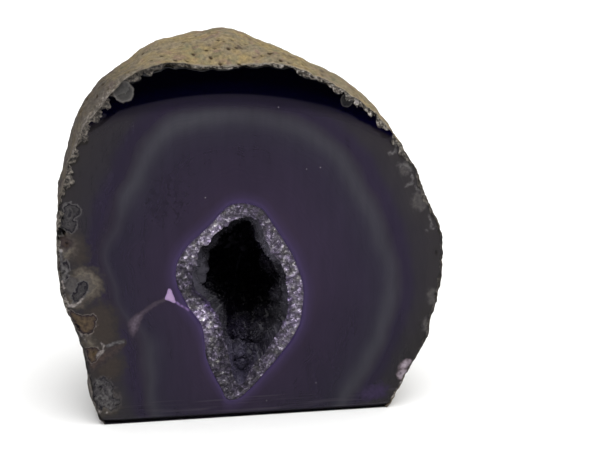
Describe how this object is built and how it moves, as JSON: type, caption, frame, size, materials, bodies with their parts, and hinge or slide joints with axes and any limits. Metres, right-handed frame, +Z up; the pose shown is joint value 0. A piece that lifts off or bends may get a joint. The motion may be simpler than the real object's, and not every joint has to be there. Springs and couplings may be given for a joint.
{
  "type": "geode half",
  "caption": "Half of a dyed agate geode: a nodule with a rough rind, sawn and polished in front, with a crystal-lined hollow, and sawn flat below so that it stands by itself.",
  "frame": {"origin": "middle of the object's bounding box, on the surface that it stands on", "axes": "+Z up; the polished face looks along -Y and leans back by 5 degrees; +X is to the right, seen from in front"},
  "size_m": [0.1154, 0.0658, 0.1118],
  "materials": {
    "agate": "polished",
    "quartz": "satin"
  },
  "bodies": {
    "root": {"stone": "agate", "quartz_crust": "quartz"}
  },
  "joints": []
}
